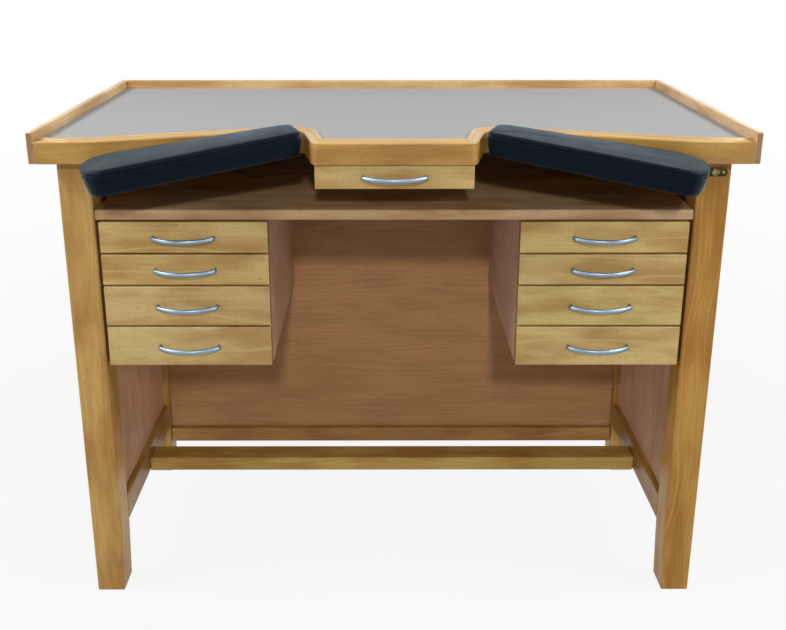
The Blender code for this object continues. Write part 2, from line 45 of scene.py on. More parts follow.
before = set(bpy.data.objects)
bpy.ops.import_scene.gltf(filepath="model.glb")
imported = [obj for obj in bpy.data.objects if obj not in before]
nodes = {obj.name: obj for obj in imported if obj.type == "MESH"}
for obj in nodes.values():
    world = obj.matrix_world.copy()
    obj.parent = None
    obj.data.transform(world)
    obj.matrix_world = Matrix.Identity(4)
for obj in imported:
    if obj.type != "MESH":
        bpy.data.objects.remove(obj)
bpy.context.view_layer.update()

HANDS = ("left", "right")
ROWS = (1, 2, 3, 4)
DRAWERS = [f"{hand}_{row}" for hand in HANDS for row in ROWS]
AXES = "XYZ"
MM = 0.001

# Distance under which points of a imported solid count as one, in metres.
MERGE = 0.00001

# A board's place in the log, drawn by chance: metres from the pith, shift of the pattern and drift of the tone.
PITH_REACH = (0.030, 0.090)
LOG_SHIFT = 3.0
TONE_DRIFT = (0.95, 1.04)

# Lacquer of beech: roughness, specular level and how far the pores show.
LACQUERED = {"gloss": 0.40, "shine": 0.25, "pores": 0.12}
POLISHED = {"gloss": 0.32, "shine": 0.50, "pores": 0.04}

# Metres by which the late wood lines wander from true circles round the pith.
RING_WANDER = 0.060

# Lipping: where its pith lies from front to back, and the height within which points are on its front line.
LIPPING_PITH = -0.05
LINE_REACH = 0.0001
# Painted highlight: share of its upper side painted pale, the upward turn at which that starts and the turn over
# which it grows.
PAINTED_HIGHLIGHT_MOST = 0.42
PAINTED_HIGHLIGHT_FROM = 0.3
PAINTED_HIGHLIGHT_OVER = 0.5

# Bow handle: gap to its drawer in metres, sides of its bar, and steps round each bend and along the bow.
BAR_SEAT = 0.0003
BAR_SIDES = 24
BEND_STEPS = 8
BOW_STEPS = 36

# Cover of a pad as cloth: light, stiff to bend, easy to press together, blown up over this many frames.
COVER_QUALITY = 6
COVER_MASS = 0.3
COVER_BENDING = 30.0
COVER_COMPRESSION = 2.0
COVER_PRESSURE = 4.0
COVER_FRAMES = 20
# Rounds in which each point of a swollen pad takes on the movement of its neighbours, so that no crease is left.
EVEN_ROUNDS = 40
# Rounds that smooth a pad's crown, above its rolled edge.
CROWN_ROUNDS = 200
# Pulls along the seam: how far and how often their spacing drifts, and how narrow the seam's groove is.
PUCKER_DRIFT = 3.0
PUCKER_WANDER = 90.0
SEAM_SHARPNESS = 6


def linear(code):
    """An sRGB hex colour as linear red, green and blue."""
    parts = [int(code[i:i + 2], 16) / 255 for i in (1, 3, 5)]
    return [c / 12.92 if c <= 0.04045 else ((c + 0.055) / 1.055) ** 2.4 for c in parts]


def length(name, description, default):
    """A size that a user may change, in metres."""
    return bpy.props.FloatProperty(name=name, description=description, default=default, min=0.0, unit="LENGTH",
                                   precision=5)


def colour(name, description, code):
    """A colour that a user may change, given as sRGB hex."""
    return bpy.props.FloatVectorProperty(name=name, description=description, default=linear(code), size=3,
                                         min=0.0, max=1.0, subtype="COLOR")


class BenchSizes(bpy.types.PropertyGroup):
    """Sizes of the edges, handles, pads and stitching that finish the bench."""

    board_edge: length("Board edge", "Rounding worn on the eased edges of boards and legs", 0.0006)
    front_edge: length("Drawer front edge", "Rounding of a drawer front's edges", 0.0020)
    bar_long: length("Handle length", "Length of a bow handle over its two feet", 0.110)
    bar_out: length("Handle reach", "How far a bow handle stands out from its drawer", 0.030)
    bar_thick: length("Handle thickness", "Thickness of the oval bar, front to back", 0.0064)
    bar_tall: length("Handle height", "Height of the oval bar", 0.0080)
    bar_foot: length("Handle foot", "Straight length of each foot before it bends", 0.0060)
    bar_bend: length("Handle bend", "Radius from each foot into the bow", 0.0050)
    pad_slack: length("Pad slack", "How much smaller a pad starts before it is blown up", 0.0006)
    pad_swell: length("Pad swell", "Furthest that a point of a pad may move as it swells", 0.0010)
    seam_up: length("Seam height", "Height of the seam over the underside of a pad", 0.0371)
    roll_tall: length("Roll height", "Height of the rolled edge between a pad's seam and its crown", 0.0064)
    seam_deep: length("Seam depth", "Depth of the sewn groove round a pad", 0.0029)
    pucker: length("Seam pucker", "Height of the small pulls along the seam", 0.0004)
    pucker_step: length("Pucker spacing", "Distance between the small pulls along the seam", 0.0130)


class BenchColours(bpy.types.PropertyGroup):
    """Colours of the bench's materials."""

    beech_pale: colour("Beech, pale", "Early wood of the palest beech boards", "#E0C08A")
    beech_deep: colour("Beech, deep", "Warmer patches of the beech", "#C19862")
    beech_line: colour("Beech, line", "Late wood lines and flecks", "#8C6C44")
    # The veneer's pink is partly that of steamed beech and partly painted light: the pinkish bounce light inside the
    # bench, painted into these colours.
    veneer_pale: colour("Veneer, pale", "Pale figure of the steamed beech veneer", "#E4B59F")
    veneer_deep: colour("Veneer, deep", "Darker patches of the veneer", "#D5A691")
    veneer_line: colour("Veneer, line", "Lines and flecks of the veneer", "#936A52")
    plywood_pale: colour("Plywood, pale", "Pale face of the drawer boxes", "#D8C094")
    plywood_deep: colour("Plywood, deep", "Darker patches of the drawer boxes", "#C4A777")
    linoleum: colour("Linoleum", "Grey work surface", "#9E9E9E")
    leatherette: colour("Leatherette", "Blue-black cover of the pads", "#080D18")
    aluminium: colour("Aluminium", "Satin anodised handles", "#8294A4")
    steel: colour("Steel", "Blackened armrest brackets", "#2A2A2B")
    brass: colour("Brass", "Aged brass of the oval plate", "#A39768")
    floor: colour("Floor", "Pale studio floor", "#ACACAA")


# Tone of boards that are darker than the palest ones, by the start of the piece's name.
TONES = {
    "beech_front": "#EAE9D9",
    "leg_front_left": "#E3D6AF",
    "leg_front_right": "#D5BA82",
    "leg": "#D9C9A6",
    "shelf": "#DCDCEC",
    "foot_rail": "#E4DEAE",
    "side_rail": "#C9B895",
    "back_rail": "#C9B895",
    "lipping": "#D2C38A",
    "side_panel": "#F6FAEB",
    "pedestal": "#E0E3E1",
    "back_panel": "#D4C398",
    "edge_board_back": "#EAE5E3",
}

# Share of lines and streaks on boards that are calmer than the legs and rails.
FIGURES = {
    "beech_front": 0.45,
    "lipping": 0.60,
    "edge_board": 0.50,
    "shelf": 0.60,
    "back_panel": 0.70,
}


def add_node(tree, kind, values=None, links=None):
    """Adds a node; lower-case keys are its settings, others its inputs, and links join outputs to inputs."""
    made = tree.nodes.new("ShaderNode" + kind)
    for key, value in (values or {}).items():
        if isinstance(key, str) and key.islower():
            setattr(made, key, value)
        else:
            made.inputs[key].default_value = value
    for key, output in (links or {}).items():
        tree.links.new(output, made.inputs[key])
    return made


def new_material(name):
    """An empty material with one shader: the material, its node tree and the shader."""
    made = bpy.data.materials.new(name)
    made.use_nodes = True
    tree = made.node_tree
    tree.nodes.clear()
    shader = add_node(tree, "BsdfPrincipled")
    add_node(tree, "OutputMaterial", links={"Surface": shader.outputs["BSDF"]})
    return made, tree, shader


def per_size(axis, across, along):
    """Scale of a pattern whose marks measure across and along the grain, in millimetres."""
    scale = [1.0 / (across * MM)] * 3
    scale[AXES.index(axis)] = 1.0 / (along * MM)
    return scale


def wood(name, pale, deep, line, axis, gloss=LACQUERED["gloss"], shine=LACQUERED["shine"],
         pores=LACQUERED["pores"], ring=7.0, follows=False):
    """Lacquered beech: calm tone that drifts along the board, late wood lines round the pith, fine fibres
    and the short flecks of its rays, under a satin lacquer that lets the pores show a little. Sawn ends
    drink more lacquer and are darker.

    Fibres are about 0.3 mm wide on the tree and flecks 0.5 mm; both are drawn coarser so that they show. Rings
    are spaced in millimetres. Where the grain follows a piece, its upper side gets a painted highlight: it is
    painted paler.
    """
    made, tree, shader = new_material(name)
    surface = add_node(tree, "TexCoord").outputs
    place = surface["Object"]
    if follows:
        place = add_node(tree, "Attribute", {"attribute_name": "grain"}).outputs["Vector"]
    pith = add_node(tree, "Attribute", {"attribute_type": "OBJECT", "attribute_name": "pith"}).outputs["Vector"]
    shift = add_node(tree, "Attribute", {"attribute_type": "OBJECT", "attribute_name": "shift"}).outputs["Vector"]
    tone = add_node(tree, "Attribute", {"attribute_type": "OBJECT", "attribute_name": "tone"}).outputs["Color"]
    figure = add_node(tree, "Attribute", {"attribute_type": "OBJECT", "attribute_name": "figure"}).outputs["Fac"]
    own = add_node(tree, "VectorMath", {"operation": "ADD"}, {0: place, 1: shift}).outputs["Vector"]

    def marks(across, along, detail):
        stretched = add_node(tree, "VectorMath", {"operation": "MULTIPLY", 1: per_size(axis, across, along)},
                             {0: own}).outputs["Vector"]
        return add_node(tree, "TexNoise", {"Scale": 1.0, "Detail": detail}, {"Vector": stretched}).outputs["Fac"]

    wander = marks(45.0, 320.0, 1.0)
    cloud = marks(48.0, 170.0, 2.0)
    fibre = marks(2.2, 70.0, 2.0)
    ray = marks(1.3, 9.0, 0.0)
    scar = marks(4.0, 17.0, 0.0)

    along_grain = [float(letter == axis) for letter in AXES]
    across_grain = [1.0 - share for share in along_grain]
    facing = add_node(tree, "VectorMath", {"operation": "DOT_PRODUCT", 1: along_grain}, {0: surface["Normal"]})
    facing = add_node(tree, "Math", {"operation": "ABSOLUTE"}, {0: facing.outputs["Value"]}).outputs["Value"]
    end = add_node(tree, "MapRange", {"From Min": 0.80, "From Max": 0.95, "To Max": 0.0 if follows else 0.90},
                   {"Value": facing}).outputs["Result"]
    reach = add_node(tree, "VectorMath", {"operation": "SUBTRACT"}, {0: place, 1: pith}).outputs["Vector"]
    reach = add_node(tree, "VectorMath", {"operation": "MULTIPLY", 1: across_grain}, {0: reach}).outputs["Vector"]
    radius = add_node(tree, "VectorMath", {"operation": "LENGTH"}, {0: reach}).outputs["Value"]
    radius = add_node(tree, "Math", {"operation": "MULTIPLY_ADD", 1: RING_WANDER},
                      {0: wander, 2: radius}).outputs["Value"]

    def rings(spacing, start, most):
        turns = add_node(tree, "Math", {"operation": "MULTIPLY", 1: math.tau / (spacing * MM)}, {0: radius})
        wave = add_node(tree, "Math", {"operation": "SINE"}, {0: turns.outputs["Value"]}).outputs["Value"]
        return add_node(tree, "MapRange", {"From Min": start, "From Max": 1.0, "To Max": most},
                        {"Value": wave}).outputs["Result"]

    late = rings(ring, -0.2, 0.19)
    light = rings(ring * 4.3, 0.90, 0.55)
    soft = add_node(tree, "MapRange", {"From Min": 0.39, "From Max": 0.61}, {"Value": cloud}).outputs["Result"]
    streak = add_node(tree, "MapRange", {"From Min": 0.42, "From Max": 0.75, "To Max": 0.30},
                      {"Value": fibre}).outputs["Result"]
    fleck = add_node(tree, "MapRange", {"From Min": 0.60, "From Max": 0.72, "To Max": 0.22},
                     {"Value": ray}).outputs["Result"]
    mark = add_node(tree, "MapRange", {"From Min": 0.85, "From Max": 0.88, "To Max": 0.60},
                    {"Value": scar}).outputs["Result"]

    late = add_node(tree, "Math", {"operation": "MULTIPLY"}, {0: late, 1: figure}).outputs["Value"]
    streak = add_node(tree, "Math", {"operation": "MULTIPLY"}, {0: streak, 1: figure}).outputs["Value"]

    base = add_node(tree, "Mix", {"data_type": "RGBA", 6: (*pale, 1.0), 7: (*deep, 1.0)}, {0: soft}).outputs[2]
    layers = ((light, pale), (streak, deep), (late, line), (fleck, line), (mark, line), (end, line))
    for share, ink in layers:
        base = add_node(tree, "Mix", {"data_type": "RGBA", 7: (*ink, 1.0)}, {0: share, 6: base}).outputs[2]
    base = add_node(tree, "Mix", {"data_type": "RGBA", "blend_type": "MULTIPLY", 0: 1.0},
                    {6: base, 7: tone}).outputs[2]
    if follows:
        # Painted highlight: the upper side of a piece whose grain follows it is mixed towards pale.
        wear_and_painted_highlight = add_node(tree, "Attribute", {"attribute_name": "wear_and_painted_highlight"}).outputs["Fac"]
        base = add_node(tree, "Mix", {"data_type": "RGBA", 7: (*pale, 1.0)}, {0: wear_and_painted_highlight, 6: base}).outputs[2]
    tree.links.new(base, shader.inputs["Base Color"])
    shader.inputs["Specular IOR Level"].default_value = shine
    rough = add_node(tree, "MapRange", {"To Min": gloss - 0.07, "To Max": gloss + 0.09}, {"Value": fibre})
    tree.links.new(rough.outputs["Result"], shader.inputs["Roughness"])
    bump = add_node(tree, "Bump", {"Strength": pores, "Distance": 0.0004}, {"Height": fibre})
    tree.links.new(bump.outputs["Normal"], shader.inputs["Normal"])
    return made


def beech(axis, follows=False, polished=False):
    """Solid beech with its grain along one axis, or along a piece's own length. Boards round the top are
    polished: more lacquer, rubbed flat by hands and sleeves."""
    name = ("polished" if polished else "lacquered") + " beech along " + ("its length" if follows else axis)
    lacquer = POLISHED if polished else LACQUERED
    ink = bpy.context.scene.bench_colours
    return bpy.data.materials.get(name) or wood(name, ink.beech_pale, ink.beech_deep, ink.beech_line, axis,
                                                follows=follows, **lacquer)


def veneer(axis):
    """Steamed beech veneer on board: browner and calmer than the solid wood, with finer lines."""
    name = f"beech veneer along {axis}"
    ink = bpy.context.scene.bench_colours
    return bpy.data.materials.get(name) or wood(name, ink.veneer_pale, ink.veneer_deep, ink.veneer_line, axis,
                                                gloss=0.48, ring=11.0)


def plywood(axis):
    """Sanded plywood of the drawer boxes: pale, dry and nearly plain."""
    name = f"birch plywood along {axis}"
    ink = bpy.context.scene.bench_colours
    return bpy.data.materials.get(name) or wood(name, ink.plywood_pale, ink.plywood_deep, ink.beech_line, axis,
                                                gloss=0.60, ring=18.0)


def linoleum():
    """Furniture linoleum: matt grey, with the faint mottle of cork and wood flour pressed in oil."""
    made, tree, shader = new_material("furniture linoleum")
    ink = bpy.context.scene.bench_colours.linoleum
    place = add_node(tree, "TexCoord").outputs["Object"]
    mottle = add_node(tree, "TexNoise", {"Scale": 1 / (6 * MM), "Detail": 3.0}, {"Vector": place}).outputs["Fac"]
    grit = add_node(tree, "TexNoise", {"Scale": 1 / (1.1 * MM), "Detail": 1.0}, {"Vector": place}).outputs["Fac"]
    base = add_node(tree, "Mix", {"data_type": "RGBA", 6: (*[c * 0.95 for c in ink], 1.0),
                                  7: (*[min(1.0, c * 1.05) for c in ink], 1.0)}, {0: mottle}).outputs[2]
    tree.links.new(base, shader.inputs["Base Color"])
    shader.inputs["Specular IOR Level"].default_value = 0.20
    rough = add_node(tree, "MapRange", {"To Min": 0.58, "To Max": 0.74}, {"Value": mottle})
    tree.links.new(rough.outputs["Result"], shader.inputs["Roughness"])
    bump = add_node(tree, "Bump", {"Strength": 0.10, "Distance": 0.0002}, {"Height": grit})
    tree.links.new(bump.outputs["Normal"], shader.inputs["Normal"])
    return made


def leatherette():
    """Embossed vinyl cover: small rounded pebbles with creases between them, painted darker as shade, and a soft
    sheen on the crown.
    """
    made, tree, shader = new_material("embossed leatherette")
    ink = bpy.context.scene.bench_colours.leatherette
    place = add_node(tree, "TexCoord").outputs["Object"]
    wobble = add_node(tree, "TexNoise", {"Scale": 1 / (3 * MM), "Detail": 1.0}, {"Vector": place}).outputs["Color"]
    bent = add_node(tree, "VectorMath", {"operation": "MULTIPLY_ADD", 1: (0.0012,) * 3}, {0: wobble, 2: place})
    pebble = add_node(tree, "TexVoronoi", {"feature": "DISTANCE_TO_EDGE", "Scale": 1 / (1.6 * MM)},
                      {"Vector": bent.outputs["Vector"]}).outputs["Distance"]
    crease = add_node(tree, "MapRange", {"From Max": 0.22}, {"Value": pebble}).outputs["Result"]
    # Patches of wear on the leatherette; they change only the roughness, and no colour is painted from them.
    wear_and_painted_highlight = add_node(tree, "TexNoise", {"Scale": 1 / (55 * MM), "Detail": 3.0}, {"Vector": place}).outputs["Fac"]
    # Painted shade: the creases between pebbles are painted darker, down to 0.55 of the colour.
    base = add_node(tree, "Mix", {"data_type": "RGBA", 6: (*[c * 0.55 for c in ink], 1.0), 7: (*ink, 1.0)},
                    {0: crease}).outputs[2]
    tree.links.new(base, shader.inputs["Base Color"])
    rough = add_node(tree, "MapRange", {"From Min": 0.3, "From Max": 0.7, "To Min": 0.40, "To Max": 0.52},
                     {"Value": wear_and_painted_highlight})
    tree.links.new(rough.outputs["Result"], shader.inputs["Roughness"])
    bump = add_node(tree, "Bump", {"Strength": 0.30, "Distance": 0.0003}, {"Height": crease})
    tree.links.new(bump.outputs["Normal"], shader.inputs["Normal"])
    shader.inputs["Specular IOR Level"].default_value = 0.15
    shader.inputs["Specular Tint"].default_value = (*linear("#8FB4C4"), 1.0)
    shader.inputs["Sheen Weight"].default_value = 0.21
    shader.inputs["Sheen Roughness"].default_value = 0.35
    shader.inputs["Sheen Tint"].default_value = (*linear("#A8DCEC"), 1.0)
    return made


def aluminium():
    """Satin anodised aluminium: blasted, then sealed, so its highlights spread and stay cool."""
    made, tree, shader = new_material("satin anodised aluminium")
    ink = bpy.context.scene.bench_colours.aluminium
    shader.inputs["Base Color"].default_value = (*ink, 1.0)
    shader.inputs["Metallic"].default_value = 1.0
    place = add_node(tree, "TexCoord").outputs["Object"]
    grit = add_node(tree, "TexNoise", {"Scale": 1 / (0.9 * MM), "Detail": 1.0}, {"Vector": place}).outputs["Fac"]
    rough = add_node(tree, "MapRange", {"To Min": 0.32, "To Max": 0.46}, {"Value": grit})
    tree.links.new(rough.outputs["Result"], shader.inputs["Roughness"])
    bump = add_node(tree, "Bump", {"Strength": 0.06, "Distance": 0.0001}, {"Height": grit})
    tree.links.new(bump.outputs["Normal"], shader.inputs["Normal"])
    return made


def steel():
    """Blackened steel: a thin oily oxide with worn, slightly brighter patches."""
    made, tree, shader = new_material("blackened steel")
    ink = bpy.context.scene.bench_colours.steel
    place = add_node(tree, "TexCoord").outputs["Object"]
    patch = add_node(tree, "TexNoise", {"Scale": 1 / (9 * MM), "Detail": 3.0}, {"Vector": place}).outputs["Fac"]
    base = add_node(tree, "Mix", {"data_type": "RGBA", 6: (*ink, 1.0), 7: (*[c * 2.2 for c in ink], 1.0)},
                    {0: patch}).outputs[2]
    tree.links.new(base, shader.inputs["Base Color"])
    shader.inputs["Metallic"].default_value = 1.0
    rough = add_node(tree, "MapRange", {"To Min": 0.35, "To Max": 0.55}, {"Value": patch})
    tree.links.new(rough.outputs["Result"], shader.inputs["Roughness"])
    return made


def brass():
    """Aged brass: dull yellow with brown patina in patches, and painted shade that makes its flat nearly black."""
    made, tree, shader = new_material("aged brass")
    ink = bpy.context.scene.bench_colours.brass
    place = add_node(tree, "TexCoord").outputs["Object"]
    patch = add_node(tree, "TexNoise", {"Scale": 1 / (5 * MM), "Detail": 4.0}, {"Vector": place}).outputs["Fac"]
    base = add_node(tree, "Mix", {"data_type": "RGBA", 6: (*[c * 0.45 for c in ink], 1.0), 7: (*ink, 1.0)},
                    {0: patch}).outputs[2]
    # Painted shade: the marked flat is darkened to a tenth of the brass colour.
    painted_shade = add_node(tree, "Attribute", {"attribute_name": "painted_shade"}).outputs["Fac"]
    base = add_node(tree, "Mix", {"data_type": "RGBA", 7: (*[c * 0.10 for c in ink], 1.0)},
                    {0: painted_shade, 6: base}).outputs[2]
    tree.links.new(base, shader.inputs["Base Color"])
    shader.inputs["Metallic"].default_value = 1.0
    rough = add_node(tree, "MapRange", {"To Min": 0.28, "To Max": 0.50}, {"Value": patch})
    tree.links.new(rough.outputs["Result"], shader.inputs["Roughness"])
    return made


def select_only(*pieces):
    """Selects these objects alone and makes the last one active."""
    bpy.ops.object.select_all(action="DESELECT")
    for piece in pieces:
        piece.select_set(True)
    bpy.context.view_layer.objects.active = pieces[-1]


def dress(piece, material):
    """Gives a piece one material in place of any it has."""
    piece.data.materials.clear()
    piece.data.materials.append(material)


def entry_for(table, name, other):
    """Value of the first entry in a table that starts the name, or another one where none does."""
    return next((value for start, value in table.items() if name.startswith(start)), other)


def grow(piece, name, low, high, axis):
    """Gives a board its own place in the log: where the pith lay, which fibres it shows, its tone and figure."""
    draw = np.random.default_rng(sum(map(ord, name)))
    turn = draw.uniform(0.0, math.tau)
    reach = draw.uniform(*PITH_REACH)
    offset = [reach * math.cos(turn), reach * math.sin(turn)]
    offset.insert(AXES.index(axis), 0.0)
    piece["pith"] = list((low + high) / 2 + Vector(offset))
    piece["shift"] = [float(x) for x in draw.uniform(-LOG_SHIFT, LOG_SHIFT, 3)]
    piece["tone"] = [c * float(draw.uniform(*TONE_DRIFT)) for c in linear(entry_for(TONES, name, "#FFFFFF"))]
    piece["figure"] = entry_for(FIGURES, name, 1.0)


def finish_board(name, material, axis, edge=None):
    """Finishes a board of the frame: its wood, its place in the log and the wear on its eased edges."""
    piece = nodes[name]
    dress(piece, material)
    grow(piece, name, *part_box(name), axis)
    if edge:
        weld = piece.modifiers.new("weld", "WELD")
        weld.merge_threshold = MERGE
        bevel = piece.modifiers.new("worn edge", "BEVEL")
        bevel.width = edge
        bevel.segments = 2
        bevel.limit_method = "ANGLE"
        bevel.angle_limit = math.radians(30)


def merged_copy(node, name):
    """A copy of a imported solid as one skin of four-sided faces, selected and active."""
    piece = bpy.data.objects.new(name, nodes[node].data.copy())
    bpy.context.collection.objects.link(piece)
    select_only(piece)
    bpy.ops.object.mode_set(mode="EDIT")
    bpy.ops.mesh.select_all(action="SELECT")
    bpy.ops.mesh.remove_doubles(threshold=MERGE)
    bpy.ops.mesh.tris_convert_to_quads(face_threshold=math.radians(5), shape_threshold=math.radians(180))
    bpy.ops.object.mode_set(mode="OBJECT")
    return piece


def smooth(piece, degrees):
    """Shades a piece smooth over its round stretches and keeps its flats flat."""
    select_only(piece)
    bpy.ops.object.shade_smooth_by_angle(angle=math.radians(degrees))
    bpy.ops.object.modifier_add(type="WEIGHTED_NORMAL")
    piece.modifiers[-1].keep_sharp = True
    bpy.ops.object.modifier_apply(modifier=piece.modifiers[-1].name)


class BENCH_OT_leg_frame(bpy.types.Operator):
    """Finish the legs, rails, shelf and panels"""

    bl_idname = "bench.leg_frame"
    bl_label = "Leg Frame and Panels"

    def execute(self, context):
        edge = context.scene.bench_sizes.board_edge
        for hand in HANDS:
            finish_board(f"leg_front_{hand}", beech("Z"), "Z", edge)
            finish_board(f"leg_back_{hand}", beech("Z"), "Z", edge)
            finish_board(f"side_rail_{hand}", beech("Y"), "Y", edge)
            finish_board(f"top_rail_{hand}", beech("Y"), "Y", edge)
            finish_board(f"side_panel_{hand}", veneer("Z"), "Z")
            finish_board(f"pedestal_inner_{hand}", veneer("Y"), "Y")
            finish_board(f"pedestal_outer_{hand}", veneer("Y"), "Y")
            finish_board(f"nose_runner_{hand}", beech("Y"), "Y")
        for name in ("foot_rail", "back_rail", "shelf"):
            finish_board(name, beech("X"), "X", edge)
        finish_board("back_panel", veneer("X"), "X")
        return {"FINISHED"}


class BENCH_OT_top(bpy.types.Operator):
    """Finish the raised edge boards, the work surface and the board under it"""

    bl_idname = "bench.top"
    bl_label = "Top"

    def execute(self, context):
        edge = context.scene.bench_sizes.board_edge
        for hand in HANDS:
            finish_board(f"edge_board_{hand}", beech("Y", polished=True), "Y", edge)
        finish_board("edge_board_back", beech("X", polished=True), "X", edge)
        finish_board("top_board", plywood("X"), "X")
        dress(nodes["work_surface"], linoleum())
        return {"FINISHED"}


class BENCH_OT_lipping(bpy.types.Operator):
    """Shape the front lipping with its bead, its grain following the curve"""

    bl_idname = "bench.lipping"
    bl_label = "Front Lipping"

    def execute(self, context):
        piece = merged_copy("front_lipping", "lipping")
        low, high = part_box("front_lipping")
        self.follow(piece)
        smooth(piece, 40)
        dress(piece, beech("X", follows=True, polished=True))
        grow(piece, "lipping", low, high, "X")
        piece["pith"] = [0.0, LIPPING_PITH, (low.z + high.z) / 2]
        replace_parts(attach(piece, "bench"), "front_lipping")
        return {"FINISHED"}

    @staticmethod
    def follow(piece):
        """Keeps for each point its length along the front line, its depth behind that line and its height, and
        how much painted highlight its upper side gets: paler where the surface turns upward."""
        points = np.array([vert.co for vert in piece.data.vertices])
        ease = np.unique(np.round(points[:, 2], 5))[1]
        line = points[np.abs(points[:, 2] - ease) < LINE_REACH][:, :2]
        line = line[np.argsort(line[:, 0])]
        starts, steps = line[:-1], np.diff(line, axis=0)
        sizes = np.linalg.norm(steps, axis=1)
        run = np.concatenate([[0.0], np.cumsum(sizes)[:-1]])
        offset = points[:, None, :2] - starts[None]
        share = np.clip((offset * steps).sum(2) / (sizes * sizes), 0.0, 1.0)
        away = np.linalg.norm(offset - share[:, :, None] * steps, axis=2)
        nearest = away.argmin(1)
        rows = np.arange(len(points))
        along = run[nearest] + share[rows, nearest] * sizes[nearest]
        grain = np.stack([along, away[rows, nearest], points[:, 2]], axis=1)
        attribute = piece.data.attributes.new("grain", "FLOAT_VECTOR", "POINT")
        attribute.data.foreach_set("vector", grain.astype(np.float32).ravel())
        rise = np.array([vert.normal.z for vert in piece.data.vertices])
        # Painted highlight: the further a point's normal turns upward, the paler it is painted.
        wear_and_painted_highlight = PAINTED_HIGHLIGHT_MOST * np.clip((rise - PAINTED_HIGHLIGHT_FROM) / PAINTED_HIGHLIGHT_OVER, 0.0, 1.0)
        attribute = piece.data.attributes.new("wear_and_painted_highlight", "FLOAT", "POINT")
        attribute.data.foreach_set("value", wear_and_painted_highlight.astype(np.float32))


class BENCH_OT_drawer_fronts(bpy.types.Operator):
    """Model the nine drawer fronts with rounded edges"""

    bl_idname = "bench.drawer_fronts"
    bl_label = "Drawer Fronts"

    def execute(self, context):
        edge = context.scene.bench_sizes.front_edge
        for drawer in DRAWERS:
            self.front(f"drawer_front_{drawer}", f"beech_front_{drawer}", f"drawer_{drawer}", edge)
        self.front("nose_drawer_front", "beech_front_nose", "nose_drawer", edge)
        return {"FINISHED"}

    @staticmethod
    def front(node, name, body, edge):
        """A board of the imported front's size, its edges rounded over."""
        low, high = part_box(node)
        bpy.ops.object.select_all(action="DESELECT")
        bpy.ops.mesh.primitive_cube_add(size=1.0, location=(low + high) / 2, scale=high - low)
        piece = bpy.context.object
        piece.name = name
        bpy.ops.object.transform_apply()
        bpy.ops.object.mode_set(mode="EDIT")
        bpy.ops.mesh.select_all(action="SELECT")
        bpy.ops.mesh.bevel(offset=edge, segments=4, profile=0.5, affect="EDGES")
        bpy.ops.object.mode_set(mode="OBJECT")
        smooth(piece, 40)
        dress(piece, beech("X"))
        grow(piece, name, low, high, "X")
        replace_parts(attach(piece, body), node)


class BENCH_OT_bow_handles(bpy.types.Operator):
    """Bend one oval bar into a bow handle and copy it to every drawer"""

    bl_idname = "bench.bow_handles"
    bl_label = "Bow Handles"

    def execute(self, context):
        pattern = self.bow(context.scene.bench_sizes)
        finish = aluminium()
        for drawer in DRAWERS:
            self.place(pattern, f"drawer_front_{drawer}", f"drawer_handle_{drawer}", f"bow_handle_{drawer}",
                       f"drawer_{drawer}", finish)
        self.place(pattern, "nose_drawer_front", "nose_drawer_handle", "bow_handle_nose", "nose_drawer", finish)
        bpy.data.objects.remove(pattern)
        return {"FINISHED"}

    @staticmethod
    def bow(sizes):
        """An oval disc on the drawer face, drawn out into a foot, spun round the bow and drawn back."""
        reach = (sizes.bar_long - sizes.bar_thick) / 2
        rise = sizes.bar_out - sizes.bar_thick / 2
        foot = sizes.bar_foot
        bend = sizes.bar_bend
        sweep = 2 * math.atan((rise - foot - bend) / (reach - bend))
        radius = (reach - bend + bend * math.sin(sweep)) / math.sin(sweep)
        corner = math.pi / 2 - sweep
        bpy.ops.object.select_all(action="DESELECT")
        bpy.ops.mesh.primitive_circle_add(vertices=BAR_SIDES, radius=sizes.bar_thick / 2, fill_type="NGON",
                                          location=(-reach, -BAR_SEAT, 0.0), rotation=(math.pi / 2, 0.0, 0.0))
        piece = bpy.context.object
        piece.scale.y = sizes.bar_tall / sizes.bar_thick
        bpy.ops.object.transform_apply()
        bpy.ops.object.mode_set(mode="EDIT")
        bpy.ops.mesh.select_all(action="SELECT")
        out = {"value": (0.0, BAR_SEAT - foot, 0.0)}
        back = {"value": (0.0, foot - BAR_SEAT, 0.0)}
        bpy.ops.mesh.extrude_region_move(TRANSFORM_OT_translate=out)
        turns = ((BEND_STEPS, corner, (bend - reach, -foot, 0.0)),
                 (BOW_STEPS, 2 * sweep, (0.0, radius - rise, 0.0)),
                 (BEND_STEPS, corner, (reach - bend, -foot, 0.0)))
        for steps, angle, center in turns:
            bpy.ops.mesh.spin(steps=steps, angle=angle, center=center, axis=(0.0, 0.0, -1.0))
        bpy.ops.mesh.extrude_region_move(TRANSFORM_OT_translate=back)
        bpy.ops.mesh.select_all(action="SELECT")
        bpy.ops.mesh.remove_doubles(threshold=MERGE)
        bpy.ops.mesh.normals_make_consistent(inside=False)
        bpy.ops.object.mode_set(mode="OBJECT")
        smooth(piece, 50)
        return piece

    @staticmethod
    def place(pattern, front, node, name, body, finish):
        """Copies the bow to the middle of a drawer front, with its own mesh."""
        low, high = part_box(front)
        piece = pattern.copy()
        piece.data = pattern.data.copy()
        piece.name = name
        bpy.context.collection.objects.link(piece)
        piece.location = ((low.x + high.x) / 2, low.y, (low.z + high.z) / 2)
        select_only(piece)
        bpy.ops.object.transform_apply()
        dress(piece, finish)
        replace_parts(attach(piece, body), node)


class BENCH_OT_drawer_boxes(bpy.types.Operator):
    """Finish the plywood boxes behind the drawer fronts"""

    bl_idname = "bench.drawer_boxes"
    bl_label = "Drawer Boxes"

    def execute(self, context):
        for drawer in DRAWERS:
            finish_board(f"drawer_box_{drawer}", plywood("Y"), "Y")
        finish_board("nose_drawer_box", plywood("Y"), "Y")
        return {"FINISHED"}


